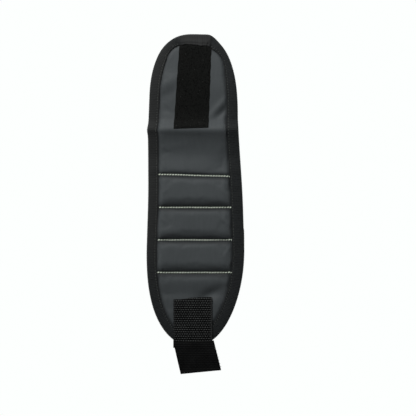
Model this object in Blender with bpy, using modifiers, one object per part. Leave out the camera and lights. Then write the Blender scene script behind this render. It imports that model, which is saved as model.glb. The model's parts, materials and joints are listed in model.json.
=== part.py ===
"""Magnetic wrist pin cushion: a padded cloth band that wraps round the wrist and holds pins.

The band lies open on its lining, front up, with its flap at +Y and its strap at -Y.
It bends at eight lines across it. Each stretch between two lines is one rigid body,
whose pieces hang on an empty that sits on the line where the body bends.

Along the band, "along" is the distance from the flap's tip, measured over the cloth.
Through the band, "level" is the height above the binding's underside.
"""

import math
from functools import partial

import bmesh
import bpy
from mathutils import Vector

MM = 0.001

# Outline of the body: two rounded ends, and sides that widen from the flap to the last pocket.
# Its half width at the first pocket is what the pocket's contents, its slope and the tape need.
FLAP_NARROWING = 1.8 * MM
LAST_POCKET_WIDENING = 2.3 * MM
TOP_CAP_LENGTH = 85 * MM
TOP_ROUNDNESS = 2.5
BOTTOM_CAP_LENGTH = 95 * MM
BOTTOM_ROUNDNESS = 2.15

# Lengths of the stretches between the bend lines
FLAP_TIP_LENGTH = 49 * MM
FLAP_BASE_LENGTH = 48 * MM
UPPER_PANEL_LENGTH = 45 * MM
LOWER_PANEL_LENGTH = 24.3 * MM
STRAP_END_LENGTH = 49 * MM
TAB_LENGTH = 24 * MM

# How the panel above the pockets stands off the table at rest, as it comes out of the pack
UPPER_PANEL_PITCH = math.radians(8)

# Cloth, tape and clearances
COVER_THICKNESS = 0.8 * MM
LINING_THICKNESS = 1.2 * MM
TAPE_THICKNESS = 0.6 * MM
TAPE_ARM = 10.5 * MM
TAPE_FOLD_RADIUS = 0.9 * MM
TOUCH = 0.3 * MM
SHARPEST_BEND = math.radians(71)
SEAM_THREAD_RADIUS = 0.5 * MM

# Magnets and the foam under them, a row in each pocket, and the slopes of cloth round them
POCKET_COUNT = 3
MAGNETS_PER_ROW = 5
MAGNET_LENGTH = 20 * MM
MAGNET_WIDTH = 10 * MM
MAGNET_THICKNESS = 2 * MM
MAGNET_BEVEL = 0.4 * MM
MAGNET_GAP = 1.6 * MM
MAGNET_EASE = 0.8 * MM
FOAM_THICKNESS = 2.4 * MM
FOAM_MARGIN = 2 * MM
FOAM_BEVEL = 0.8 * MM
SEAM_SLOPE = 4.2 * MM
SIDE_SLOPE = 5 * MM

# Gentle padding of the plain panels
PANEL_SLOPE = 6 * MM
UPPER_PANEL_CROWN = 1.5 * MM
STRAP_END_CROWN = 0.9 * MM

# Loop patch, webbing strap and hook tape
LOOP_WIDTH = 33.4 * MM
LOOP_THICKNESS = 1.2 * MM
LOOP_END_MARGIN = 3.5 * MM
LOOP_OFFSET = -1 * MM
LOOP_LEAN = 0.05
WEBBING_WIDTH = 38 * MM
WEBBING_THICKNESS = 1.6 * MM
WEBBING_OFFSET = -2 * MM
WEBBING_END_MARGIN = 0.5 * MM
HOOK_TAPE_WIDTH = 39 * MM
HOOK_TAPE_THICKNESS = 2 * MM
HOOK_TAPE_LEAN = 0.24
HOOK_TAPE_SLANT = 0.115

# Worked out from the values above
EDGE_INSET = 2 * TAPE_THICKNESS
ARM_INSET = TAPE_ARM + TOUCH
LINING_LEVEL = TAPE_THICKNESS + TOUCH
COVER_LEVEL = LINING_LEVEL + LINING_THICKNESS + TOUCH
UPPER_ARM_LEVEL = COVER_LEVEL + COVER_THICKNESS + TOUCH
BOUND_THICKNESS = UPPER_ARM_LEVEL + TAPE_THICKNESS
HINGE_LEVEL = BOUND_THICKNESS / 2
FOAM_LEVEL = LINING_THICKNESS + TOUCH
MAGNET_LEVEL = FOAM_LEVEL + FOAM_THICKNESS + TOUCH
POCKET_CROWN = MAGNET_LEVEL + MAGNET_THICKNESS + MAGNET_EASE - COVER_LEVEL
TAPE_HALF_GAP = HINGE_LEVEL * math.tan(SHARPEST_BEND / 2) + TOUCH / 2
CLOTH_HALF_GAP = (HINGE_LEVEL - LINING_LEVEL) * math.tan(SHARPEST_BEND / 2) + TOUCH / 2
FOAM_LENGTH = MAGNET_LENGTH + 2 * FOAM_MARGIN
POCKET_LENGTH = FOAM_LENGTH + 2 * SEAM_SLOPE
MAGNET_PITCH = MAGNET_WIDTH + MAGNET_GAP
FOAM_WIDTH = MAGNETS_PER_ROW * MAGNET_PITCH - MAGNET_GAP + 2 * FOAM_MARGIN
FIRST_POCKET_HALF_WIDTH = FOAM_WIDTH / 2 + SIDE_SLOPE + ARM_INSET
FLAP_HALF_WIDTH = FIRST_POCKET_HALF_WIDTH - FLAP_NARROWING
LAST_POCKET_HALF_WIDTH = FIRST_POCKET_HALF_WIDTH + LAST_POCKET_WIDENING
WEBBING_LEVEL = BOUND_THICKNESS + TOUCH
TAB_LEVEL = WEBBING_LEVEL + WEBBING_THICKNESS / 2
TAB_REACH = TAB_LENGTH + HOOK_TAPE_SLANT * HOOK_TAPE_WIDTH / 2
TAB_PITCH = math.asin((TAB_LEVEL - HOOK_TAPE_THICKNESS / 2) / TAB_REACH)

CREASE_HEIGHT = UPPER_PANEL_LENGTH * math.sin(UPPER_PANEL_PITCH)
FLAP_PITCH = -math.asin(CREASE_HEIGHT / (FLAP_TIP_LENGTH + FLAP_BASE_LENGTH))

# The stretches from the flap's tip to the strap's end: name, length, pitch, crown of the cover
STRETCHES = (
    ("flap_tip", FLAP_TIP_LENGTH, FLAP_PITCH, 0.0),
    ("flap_base", FLAP_BASE_LENGTH, FLAP_PITCH, 0.0),
    ("upper_panel", UPPER_PANEL_LENGTH, UPPER_PANEL_PITCH, UPPER_PANEL_CROWN),
    ("pocket_1", POCKET_LENGTH, 0.0, POCKET_CROWN),
    ("pocket_2", POCKET_LENGTH, 0.0, POCKET_CROWN),
    ("pocket_3", POCKET_LENGTH, 0.0, POCKET_CROWN),
    ("lower_panel", LOWER_PANEL_LENGTH, 0.0, STRAP_END_CROWN),
    ("strap_end", STRAP_END_LENGTH, 0.0, STRAP_END_CROWN),
)
ROOT = "pocket_2"
FIRST_POCKET_START = FLAP_TIP_LENGTH + FLAP_BASE_LENGTH + UPPER_PANEL_LENGTH
BODY_LENGTH = sum(length for _, length, _, _ in STRETCHES)

CAP_STEPS = 10
STATION_SPACING = 14 * MM
SLOPE_STEPS = 3
THREAD_SIDES = 8
SAME_POINT = TOUCH / 30

MATERIALS = {
    "shell_fabric": ((0.070, 0.080, 0.086, 1), 0.75, 0.0),
    "binding_tape": ((0.014, 0.016, 0.017, 1), 0.9, 0.0),
    "lining_mesh": ((0.020, 0.021, 0.023, 1), 0.9, 0.0),
    "loop_pile": ((0.007, 0.007, 0.007, 1), 1.0, 0.0),
    "webbing": ((0.012, 0.013, 0.013, 1), 0.6, 0.0),
    "hook_tape": ((0.008, 0.008, 0.008, 1), 0.7, 0.0),
    "foam": ((0.30, 0.31, 0.32, 1), 1.0, 0.0),
    "magnet": ((0.62, 0.63, 0.65, 1), 0.3, 1.0),
    "seam_thread": ((0.52, 0.60, 0.48, 1), 0.7, 0.0),
}


def clear_scene():
    for old in list(bpy.data.objects):
        bpy.data.objects.remove(old)


def make_collection(name):
    collection = bpy.data.collections.new(name)
    bpy.context.scene.collection.children.link(collection)
    return collection


def make_materials():
    made = {}
    for name, (colour, roughness, metallic) in MATERIALS.items():
        material = bpy.data.materials.new(name)
        material.use_nodes = True
        shader = material.node_tree.nodes["Principled BSDF"]
        shader.inputs["Base Color"].default_value = colour
        shader.inputs["Roughness"].default_value = roughness
        shader.inputs["Metallic"].default_value = metallic
        made[name] = material
    return made


class Band:
    """The collection, materials and body empties that every piece is added to."""

    def __init__(self):
        self.collection = make_collection("wrist_pin_cushion")
        self.materials = make_materials()
        self.empties = {}
        self.bend_lines = {}

    def add_empty(self, name, parent, along, level, pitch):
        """An empty on the line where a body bends, at that place along and through the band."""
        empty = bpy.data.objects.new(name, None)
        self.collection.objects.link(empty)
        empty.empty_display_size = POCKET_LENGTH / 4
        if parent:
            empty.parent = self.empties[parent]
            empty.location = self.place(parent, 0, along, level)
        else:
            empty.location.z = level
        empty.rotation_euler.x = pitch
        self.empties[name] = empty
        self.bend_lines[name] = (along, level)

    def place(self, body, x, along, level):
        """A point of the flat band in the frame of a body's empty."""
        bend_along, bend_level = self.bend_lines[body]
        return Vector((x, bend_along - along, level - bend_level))

    def add_mesh(self, name, body, mesh, material):
        piece = bpy.data.objects.new(name, mesh)
        self.collection.objects.link(piece)
        piece.parent = self.empties[body]
        mesh.materials.append(self.materials[material])
        return piece


def stretch_starts():
    """Where each stretch begins along the band."""
    starts = {}
    along = 0.0
    for name, length, _, _ in STRETCHES:
        starts[name] = along
        along += length
    return starts


def build_rig(band):
    """The empties, from the root body outwards, each on the line where its body bends."""
    names = [name for name, _, _, _ in STRETCHES]
    lengths = {name: length for name, length, _, _ in STRETCHES}
    pitches = {name: pitch for name, _, pitch, _ in STRETCHES}
    starts = stretch_starts()
    middle = starts[ROOT] + lengths[ROOT] / 2
    band.add_empty(ROOT, None, middle, HINGE_LEVEL, 0)

    root_index = names.index(ROOT)
    for inner, outer in zip(names[root_index:0:-1], names[root_index - 1 :: -1]):
        turn = pitches[outer] - pitches[inner]
        band.add_empty(outer, inner, starts[inner], HINGE_LEVEL, turn)
    for inner, outer in zip(names[root_index:], names[root_index + 1 :]):
        turn = pitches[outer] - pitches[inner]
        band.add_empty(outer, inner, starts[outer], HINGE_LEVEL, turn)

    tab_along = BODY_LENGTH + TAPE_HALF_GAP
    band.add_empty("tab", "strap_end", tab_along, TAB_LEVEL, TAB_PITCH)


def cap_share(distance, length, roundness):
    """How wide a rounded end is, as a share of the full width, at a distance from its tip."""
    left = max(0.0, 1 - distance / length)
    return max(0.0, 1 - left**roundness) ** (1 / roundness)


def between(value, start, end):
    """How far value is on the way from start to end, from 0 to 1."""
    return min(1.0, max(0.0, (value - start) / (end - start)))


def half_width(along, inset=0.0):
    """Half the width of the body's outline moved inwards by inset."""
    widest = FLAP_HALF_WIDTH - inset
    widest += FLAP_NARROWING * between(along, TOP_CAP_LENGTH, FIRST_POCKET_START)
    last_widening = between(along, FIRST_POCKET_START, BODY_LENGTH - BOTTOM_CAP_LENGTH)
    widest += LAST_POCKET_WIDENING * last_widening
    top = cap_share(along - inset, TOP_CAP_LENGTH - inset, TOP_ROUNDNESS)
    from_bottom = BODY_LENGTH - along - inset
    bottom = cap_share(from_bottom, BOTTOM_CAP_LENGTH - inset, BOTTOM_ROUNDNESS)
    return widest * top * bottom


def cap_stations(cap_length, roundness, reach, inset):
    """Distances from a rounded end's tip, evenly turned round its curve, out to reach."""
    length = cap_length - inset
    last_angle = math.acos((1 - (reach - inset) / length) ** (roundness / 2))
    return [
        inset + length * (1 - math.cos(last_angle * step / CAP_STEPS) ** (2 / roundness))
        for step in range(CAP_STEPS + 1)
    ]


def stations(name, half_gap, inset, slope=0.0):
    """Places along a stretch where its sheets have a row of points, closer on the slopes."""
    starts = stretch_starts()
    length = next(row[1] for row in STRETCHES if row[0] == name)
    first = starts[name] + half_gap
    last = starts[name] + length - half_gap
    if name == "flap_tip":
        return cap_stations(TOP_CAP_LENGTH, TOP_ROUNDNESS, last, inset)
    if name == "strap_end":
        reach = BODY_LENGTH - first
        turned = cap_stations(BOTTOM_CAP_LENGTH, BOTTOM_ROUNDNESS, reach, inset)
        return [BODY_LENGTH - distance for distance in reversed(turned)]
    steps = [slope * step / SLOPE_STEPS for step in range(SLOPE_STEPS + 1)] if slope else [0.0]
    inner_first = first + steps[-1]
    inner_last = last - steps[-1]
    count = max(1, math.ceil((inner_last - inner_first) / STATION_SPACING))
    middle = [
        inner_first + (inner_last - inner_first) * step / count for step in range(1, count)
    ]
    low = [first + step for step in steps]
    high = [last - step for step in reversed(steps)]
    return low + middle + high


def smooth_rise(distance, length):
    """Rises from 0 to 1 over length, with a soft start and end."""
    share = between(distance, 0, length)
    return share * share * (3 - 2 * share)


def add_sheet(band, name, body, rows, columns, place, thickness, material):
    """A grid of points put in place one by one, then given its thickness both ways."""
    mesh = bpy.data.meshes.new(name)
    grid = bmesh.new()
    bmesh.ops.create_grid(grid, x_segments=columns - 1, y_segments=rows - 1, size=1)
    for vertex in grid.verts:
        column = round((vertex.co.x + 1) / 2 * (columns - 1))
        row = round((vertex.co.y + 1) / 2 * (rows - 1))
        vertex.co = band.place(body, *place(row, column))
    bmesh.ops.remove_doubles(grid, verts=grid.verts, dist=SAME_POINT)
    grid.to_mesh(mesh)
    grid.free()
    piece = band.add_mesh(name, body, mesh, material)
    solidify = piece.modifiers.new("thickness", "SOLIDIFY")
    solidify.thickness = thickness
    solidify.offset = 0
    return piece


def add_panel(band, name, body, level, thickness, crown, material):
    """One stretch of the cover or lining, raised by crown inside its bound and sewn edges."""
    in_pocket = body.startswith("pocket")
    seam_slope = SEAM_SLOPE - CLOTH_HALF_GAP if in_pocket else PANEL_SLOPE
    along = stations(body, CLOTH_HALF_GAP, EDGE_INSET, seam_slope if crown else 0)

    def place(row, column):
        here = along[row]
        arm_side = half_width(here, ARM_INSET)
        side_slope = arm_side - FOAM_WIDTH / 2 if in_pocket else PANEL_SLOPE
        step = min(column, 2 * SLOPE_STEPS + 3 - column) - 1
        x = max(0, arm_side - side_slope * step / SLOPE_STEPS)
        if step < 0:
            x = half_width(here, EDGE_INSET)
        from_seam = min(here - along[0], along[-1] - here)
        from_tip = min(here, BODY_LENGTH - here) - ARM_INSET
        rise = smooth_rise(arm_side - x, side_slope) * smooth_rise(from_seam, seam_slope)
        rise *= smooth_rise(from_tip, PANEL_SLOPE)
        side = -1 if column < SLOPE_STEPS + 2 else 1
        return side * x, here, level + thickness / 2 + crown * rise

    columns = 2 * (SLOPE_STEPS + 2)
    return add_sheet(band, name, body, len(along), columns, place, thickness, material)


def edge_path(name, depth):
    """Points (x, along) down the right side of a stretch, at a depth in from its edge."""
    return [
        (half_width(here, depth), here) for here in stations(name, TAPE_HALF_GAP, depth)
    ]


def add_binding(band, name, body, path_at):
    """Tape folded over the edge. path_at gives the points of the line at a depth from it."""
    skin = TAPE_THICKNESS / 2
    fold = TAPE_FOLD_RADIUS
    top = BOUND_THICKNESS - skin
    section = (
        (TAPE_ARM, skin),
        (skin + fold, skin),
        (skin, skin + fold),
        (skin, top - fold),
        (skin + fold, top),
        (TAPE_ARM, top),
    )
    paths = [path_at(depth) for depth, _ in section]

    def place(row, column):
        x, along = paths[column][row]
        return x, along, section[column][1]

    rows = len(paths[0])
    add_sheet(band, name, body, rows, len(section), place, TAPE_THICKNESS, "binding_tape")


def build_bindings(band):
    def right_side(name, depth):
        return edge_path(name, depth)

    def left_side(name, depth):
        return [(-x, along) for x, along in reversed(edge_path(name, depth))]

    def round_tip(name, depth):
        return left_side(name, depth)[:-1] + right_side(name, depth)

    def round_end(name, depth):
        return right_side(name, depth)[:-1] + left_side(name, depth)

    for name, _, _, _ in STRETCHES:
        if name == "flap_tip":
            sides = {"": round_tip}
        elif name == "strap_end":
            sides = {"": round_end}
        else:
            sides = {"_right": right_side, "_left": left_side}
        for side, path in sides.items():
            add_binding(band, f"binding_{name}{side}", name, partial(path, name))


def build_cloth(band):
    for name, _, _, crown in STRETCHES:
        add_panel(
            band, f"cover_{name}", name, COVER_LEVEL, COVER_THICKNESS, crown, "shell_fabric"
        )
        # The lining sinks until it lies level with the underside of the binding
        add_panel(
            band, f"lining_{name}", name, LINING_LEVEL, LINING_THICKNESS,
            -LINING_LEVEL, "lining_mesh",
        )


def add_block(band, name, body, size, centre, bevel, material):
    """A box of that size with softened edges, its centre given as x, along and level."""
    mesh = bpy.data.meshes.new(name)
    block = bmesh.new()
    bmesh.ops.create_cube(block, size=1)
    bmesh.ops.scale(block, vec=size, verts=block.verts)
    block.to_mesh(mesh)
    block.free()
    piece = band.add_mesh(name, body, mesh, material)
    piece.location = band.place(body, *centre)
    edge = piece.modifiers.new("soft edges", "BEVEL")
    edge.width = bevel
    edge.segments = 1
    return piece


def build_pocket_contents(band):
    """In each pocket a foam pad, and on it a row of magnets."""
    starts = stretch_starts()
    for pocket in range(1, POCKET_COUNT + 1):
        body = f"pocket_{pocket}"
        middle = starts[body] + POCKET_LENGTH / 2
        add_block(
            band, f"foam_pad_{pocket}", body, (FOAM_WIDTH, FOAM_LENGTH, FOAM_THICKNESS),
            (0, middle, FOAM_LEVEL + FOAM_THICKNESS / 2), FOAM_BEVEL, "foam",
        )
        for place in range(MAGNETS_PER_ROW):
            x = (place - (MAGNETS_PER_ROW - 1) / 2) * MAGNET_PITCH
            add_block(
                band, f"magnet_{pocket}_{place + 1}", body,
                (MAGNET_WIDTH, MAGNET_LENGTH, MAGNET_THICKNESS),
                (x, middle, MAGNET_LEVEL + MAGNET_THICKNESS / 2), MAGNET_BEVEL, "magnet",
            )


def build_seam_threads(band):
    """The stitched lines that close the pockets, each along the line where the band bends."""
    starts = stretch_starts()
    lines = [(starts["pocket_1"], "pocket_1"), (starts["pocket_2"], "pocket_2")]
    lines += [(starts["pocket_3"], "pocket_2"), (starts["lower_panel"], "pocket_3")]
    for number, (along, body) in enumerate(lines, 1):
        length = 2 * half_width(along, ARM_INSET)
        name = f"seam_thread_{number}"
        mesh = bpy.data.meshes.new(name)
        thread = bmesh.new()
        bmesh.ops.create_cone(
            thread, cap_ends=True, segments=THREAD_SIDES, depth=length,
            radius1=SEAM_THREAD_RADIUS, radius2=SEAM_THREAD_RADIUS,
        )
        thread.to_mesh(mesh)
        thread.free()
        mesh.shade_smooth()
        piece = band.add_mesh(name, body, mesh, "seam_thread")
        piece.location = band.place(body, 0, along, HINGE_LEVEL)
        piece.rotation_euler.y = math.pi / 2


def add_strip(band, name, body, rows, sides, level, thickness, material):
    """A flat piece of tape whose side edges sides gives at each of the rows along the band."""

    def place(row, column):
        return sides(rows[row])[column], rows[row], level + thickness / 2

    add_sheet(band, name, body, len(rows), 2, place, thickness, material)


def loop_sides(along):
    """Both side edges of the loop patch, which leans a little and stops short of the binding."""
    middle = (TAPE_ARM + FLAP_TIP_LENGTH + FLAP_BASE_LENGTH) / 2
    centre = LOOP_OFFSET - LOOP_LEAN * (along - middle)
    room = half_width(along, ARM_INSET)
    return max(-room, centre - LOOP_WIDTH / 2), min(room, centre + LOOP_WIDTH / 2)


def webbing_sides(_):
    return WEBBING_OFFSET - WEBBING_WIDTH / 2, WEBBING_OFFSET + WEBBING_WIDTH / 2


def build_hook_tape(band):
    """The tab carries on from the webbing, a little askew, with its hooks down."""
    start = BODY_LENGTH + TAPE_HALF_GAP + TOUCH

    def place(row, column):
        across = HOOK_TAPE_WIDTH * (column - 0.5)
        along = start + row * (TAB_LENGTH - TOUCH - HOOK_TAPE_SLANT * across)
        return WEBBING_OFFSET + HOOK_TAPE_LEAN * (along - BODY_LENGTH) + across, along, TAB_LEVEL

    add_sheet(band, "hook_tape", "tab", 2, 2, place, HOOK_TAPE_THICKNESS, "hook_tape")


def build_fastening(band):
    starts = stretch_starts()
    # The loop patch lies on the flap's cover and is split where the flap bends
    fold = starts["flap_base"]
    tip_rows = cap_stations(
        TOP_CAP_LENGTH, TOP_ROUNDNESS, fold - TAPE_HALF_GAP, ARM_INSET
    )
    base_rows = (fold + TAPE_HALF_GAP, starts["upper_panel"] - LOOP_END_MARGIN)
    loop_level = COVER_LEVEL + COVER_THICKNESS + TOUCH
    for body, rows in (("flap_tip", tip_rows), ("flap_base", base_rows)):
        add_strip(
            band, f"loop_patch_{body}", body, rows, loop_sides,
            loop_level, LOOP_THICKNESS, "loop_pile",
        )
    # The webbing is sewn over the cover and passes over the bound edge
    add_strip(
        band, "webbing_strap", "strap_end",
        (starts["strap_end"] + TAPE_HALF_GAP, BODY_LENGTH - WEBBING_END_MARGIN),
        webbing_sides, WEBBING_LEVEL, WEBBING_THICKNESS, "webbing",
    )


def centre_on_origin(band):
    """Slides the band along Y so that its box is centred on the origin."""
    bpy.context.view_layer.update()
    graph = bpy.context.evaluated_depsgraph_get()
    reach = []
    for piece in band.collection.objects:
        if piece.type == "MESH":
            shown = piece.evaluated_get(graph)
            reach += [(shown.matrix_world @ vertex.co).y for vertex in shown.data.vertices]
    band.empties[ROOT].location.y = -(min(reach) + max(reach)) / 2


def build():
    clear_scene()
    band = Band()
    build_rig(band)
    build_cloth(band)
    build_bindings(band)
    build_pocket_contents(band)
    build_seam_threads(band)
    build_fastening(band)
    build_hook_tape(band)
    centre_on_origin(band)
    bpy.context.view_layer.update()


build()
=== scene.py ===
import json
import math
import random

import bmesh
import bpy
import numpy as np
from mathutils import Matrix, Vector, kdtree

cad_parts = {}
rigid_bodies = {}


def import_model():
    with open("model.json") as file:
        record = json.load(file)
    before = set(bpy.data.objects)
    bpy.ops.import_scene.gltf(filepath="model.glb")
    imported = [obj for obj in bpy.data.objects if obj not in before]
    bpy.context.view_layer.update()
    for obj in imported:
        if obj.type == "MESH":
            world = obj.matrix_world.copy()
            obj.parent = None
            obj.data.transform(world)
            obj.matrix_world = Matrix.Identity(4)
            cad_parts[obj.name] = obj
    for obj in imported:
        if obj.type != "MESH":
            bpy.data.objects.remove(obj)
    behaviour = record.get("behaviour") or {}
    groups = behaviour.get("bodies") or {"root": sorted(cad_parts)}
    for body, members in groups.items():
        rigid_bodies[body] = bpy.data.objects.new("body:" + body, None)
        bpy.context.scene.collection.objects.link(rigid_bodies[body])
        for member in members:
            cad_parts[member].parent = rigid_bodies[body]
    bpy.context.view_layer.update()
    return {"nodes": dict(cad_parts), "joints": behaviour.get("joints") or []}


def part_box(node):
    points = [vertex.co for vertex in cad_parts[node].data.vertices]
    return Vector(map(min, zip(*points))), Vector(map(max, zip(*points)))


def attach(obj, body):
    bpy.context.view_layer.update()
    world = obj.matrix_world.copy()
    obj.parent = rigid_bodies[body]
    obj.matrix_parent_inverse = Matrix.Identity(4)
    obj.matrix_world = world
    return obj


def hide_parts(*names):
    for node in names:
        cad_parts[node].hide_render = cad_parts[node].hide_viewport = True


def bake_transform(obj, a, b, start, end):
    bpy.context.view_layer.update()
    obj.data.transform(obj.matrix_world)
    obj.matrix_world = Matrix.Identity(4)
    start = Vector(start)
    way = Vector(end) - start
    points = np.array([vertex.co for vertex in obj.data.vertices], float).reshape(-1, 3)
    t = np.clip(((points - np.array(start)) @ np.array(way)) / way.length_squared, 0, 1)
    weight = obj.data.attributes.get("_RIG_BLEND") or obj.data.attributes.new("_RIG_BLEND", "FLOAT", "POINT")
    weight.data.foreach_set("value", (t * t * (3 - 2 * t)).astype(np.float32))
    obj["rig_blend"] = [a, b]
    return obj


# Magnetic wrist pin cushion: the looks of the band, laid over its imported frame.
# The cloth is made on the flat band first: x across, "along" from the flap's tip, level up.
# restShape then bends it to how the band lies, and every piece is split between two bends.

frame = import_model()
mm = 0.001

hinges = {joint["name"]: Vector(joint["pos_m"]) for joint in frame["joints"]}
pairs = {joint["name"]: (joint["parent"], joint["child"]) for joint in frame["joints"]}
bendNames = (
    "flap_bend", "crease", "seam_1_bend", "seam_2_bend", "seam_3_bend", "seam_4_bend", "lower_bend",
)

band = {
    "flapTip": 49 * mm,          # tip to the flap's bend
    "strapEnd": 49 * mm,         # lower bend to the bottom edge
    "flapHalfWidth": 44.2 * mm,
    "pocketHalfWidth": 46 * mm,
    "lastHalfWidth": 48.3 * mm,
    "topCap": 85 * mm, "topRound": 2.5,
    "bottomCap": 95 * mm, "bottomRound": 2.15,
    "flapShift": -2.4 * mm,      # both ends lie a little to the left
    "endShift": -2.3 * mm,
    "hingeLevel": 2.05 * mm,
    "creaseSunk": 0.8 * mm, "panelSunk": 2.2 * mm, "flapSunk": 3.2 * mm,
    "clothHalfWidth": 50 * mm,   # the cloth before it is cut to the outline
    "flatWidth": 84 * mm,        # its mean width inside the tape
    "bendReach": 10 * mm,        # cloth this far from a bend takes part in it
    "restReach": 5 * mm,         # how softly the band lies over its own bends
}

bendAlong = {"flap_bend": band["flapTip"]}
for before, after in zip(bendNames, bendNames[1:]):
    bendAlong[after] = bendAlong[before] + (hinges[after] - hinges[before]).length
bodyLength = bendAlong["lower_bend"] + band["strapEnd"]
pocketLength = bendAlong["seam_3_bend"] - bendAlong["seam_2_bend"]
seams = [bendAlong[f"seam_{number}_bend"] for number in range(1, 5)]
rootY = hinges["seam_1_bend"].y + bendAlong["seam_1_bend"]
cuts = [0] + [
    (bendAlong[before] + bendAlong[after]) / 2 for before, after in zip(bendNames, bendNames[1:])
] + [bodyLength + 0.1]


def between(value, low, high):
    return np.clip((value - low) / (high - low), 0, 1)


def soft(value, low, high):  # smooth step from 0 at low to 1 at high
    share = between(value, low, high)
    return share * share * (3 - 2 * share)


def hump(value, middle, reach):  # smooth bump, 1 at the middle
    return np.exp(-(((value - middle) / reach) ** 2))


def roundRise(distance, reach):  # quarter-round rise of padded cloth
    return np.sqrt(1 - (1 - between(distance, 0, reach)) ** 2)


def roundEnd(distance, reach, power):  # a rounded end, from 0 at its tip to 1 at its reach
    return (1 - (1 - between(distance, 0, reach)) ** power) ** (1 / power)


def halfWidth(along):
    flap, pocket, last = band["flapHalfWidth"], band["pocketHalfWidth"], band["lastHalfWidth"]
    widest = flap + (pocket - flap) * between(along, band["topCap"], seams[0])
    widest = widest + (last - pocket) * between(along, seams[0], bodyLength - band["bottomCap"])
    top = roundEnd(along, band["topCap"], band["topRound"])
    return widest * top * roundEnd(bodyLength - along, band["bottomCap"], band["bottomRound"])


def centreLine(along):
    shift = band["flapShift"] * (1 - soft(along, 80 * mm, 175 * mm))
    return shift + band["endShift"] * soft(along, 215 * mm, 300 * mm)


def drape(along):  # how far the empty panel and the flap sink below their straight lines at rest
    down = along - bendAlong["crease"]
    sunk = band["creaseSunk"] + band["panelSunk"] * (1 - (1 - between(down, 0, 26 * mm)) ** 3)
    panel = -sunk * (1 - soft(down, 24 * mm, 45 * mm))
    flap = -band["flapSunk"] * soft(along, 46 * mm, 88 * mm) * (1 - 0.75 * soft(down, -11 * mm, 0))
    return np.where(down > 0, panel, flap)


def turned(points, middle, angle, reach):  # turns what lies beyond a bend, softly near it
    share = soft(points[:, 1], middle.y - reach, middle.y + reach) * angle
    y = points[:, 1] - middle.y
    z = points[:, 2] - middle.z
    out = points.copy()
    out[:, 1] = middle.y + y * np.cos(share) - z * np.sin(share)
    out[:, 2] = middle.z + y * np.sin(share) + z * np.cos(share)
    return out


def restShape(points):  # from the flat band to the band as it lies on the table
    out = np.array(points, float)
    out[:, 2] += drape(rootY - out[:, 1])
    rise = hinges["crease"] - hinges["seam_1_bend"]
    fall = hinges["flap_bend"] - hinges["crease"]
    panelPitch = math.atan2(rise.z, rise.y)
    flapPitch = math.atan2(fall.z, fall.y)
    flatCrease = Vector((0, rootY - bendAlong["crease"], band["hingeLevel"]))
    out = turned(out, flatCrease, flapPitch - panelPitch, band["restReach"])
    return turned(out, hinges["seam_1_bend"], panelPitch, band["restReach"])


def readAll(items, name, width=1, kind=float):
    values = np.zeros(len(items) * width, kind)
    items.foreach_get(name, values)
    return values.reshape(-1, width) if width > 1 else values


def readPoints(mesh):
    return readAll(mesh.vertices, "co", 3)


def writePoints(mesh, points):
    mesh.vertices.foreach_set("co", np.asarray(points, float).ravel())
    mesh.update()


def lieDown(mesh):
    writePoints(mesh, restShape(readPoints(mesh)))


def meshFrom(bm, name):  # the finished mesh of a bmesh that is no longer needed
    mesh = bpy.data.meshes.new(name)
    bm.to_mesh(mesh)
    bm.free()
    return mesh


def newObject(name, mesh, material=None):
    piece = bpy.data.objects.new(name, mesh)
    bpy.context.scene.collection.objects.link(piece)
    if material:
        mesh.materials.clear()
        mesh.materials.append(material)
    return piece


def settled(piece):  # the piece with its modifiers worked in
    graph = bpy.context.evaluated_depsgraph_get()
    worked = piece.evaluated_get(graph)
    mesh = bpy.data.meshes.new_from_object(worked, preserve_all_data_layers=True, depsgraph=graph)
    piece.modifiers.clear()
    old = piece.data
    piece.data = mesh
    bpy.data.meshes.remove(old)
    return piece


def subdivided(piece):
    smoother = piece.modifiers.new("smooth", "SUBSURF")
    smoother.levels = smoother.render_levels = 1
    return settled(piece)


def setValues(mesh, name, values, kind="FLOAT"):
    attribute = mesh.attributes.get(name) or mesh.attributes.new(name, kind, "POINT")
    field = "vector" if kind == "FLOAT_VECTOR" else "value"
    attribute.data.foreach_set(field, np.asarray(values, float).ravel())


def setMap(mesh, across, along):  # the cloth's own flat coordinates, in metres
    layer = mesh.uv_layers.new(name="cloth")
    corners = readAll(mesh.loops, "vertex_index", kind=int)
    layer.data.foreach_set("uv", np.stack([across[corners], along[corners]], 1).ravel())


def keepSmooth(piece):  # shades both faces of a cut sheet as the whole sheet, and its rims flat
    mesh = piece.data
    whole = readAll(mesh.attributes["wholeNormal"].data, "vector", 3)
    totals = readAll(mesh.polygons, "loop_total", kind=int)
    perLoop = np.repeat(readAll(mesh.polygons, "normal", 3), totals, 0)
    own = whole[readAll(mesh.loops, "vertex_index", kind=int)]
    lean = (own * perLoop).sum(1)
    chosen = np.where(np.abs(lean)[:, None] > 0.35, own * np.sign(lean)[:, None], perLoop)
    mesh.shade_smooth()
    mesh.normals_split_custom_set(chosen.tolist())
    mesh.attributes.remove(mesh.attributes["wholeNormal"])


def addBlend(piece, bend):  # the piece turns with the cloth across that bend
    upper, lower = pairs[bend]
    if hinges[bend].y > hinges["seam_3_bend"].y:  # above the root the child is the upper body
        upper, lower = lower, upper
    cloth = hinges["flap_bend"] - hinges["crease"] if bend == "flap_bend" else Vector((0, 1, 0))
    reach = cloth.normalized() * band["bendReach"]
    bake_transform(piece, upper, lower, start=hinges[bend] + reach, end=hinges[bend] - reach)


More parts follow.
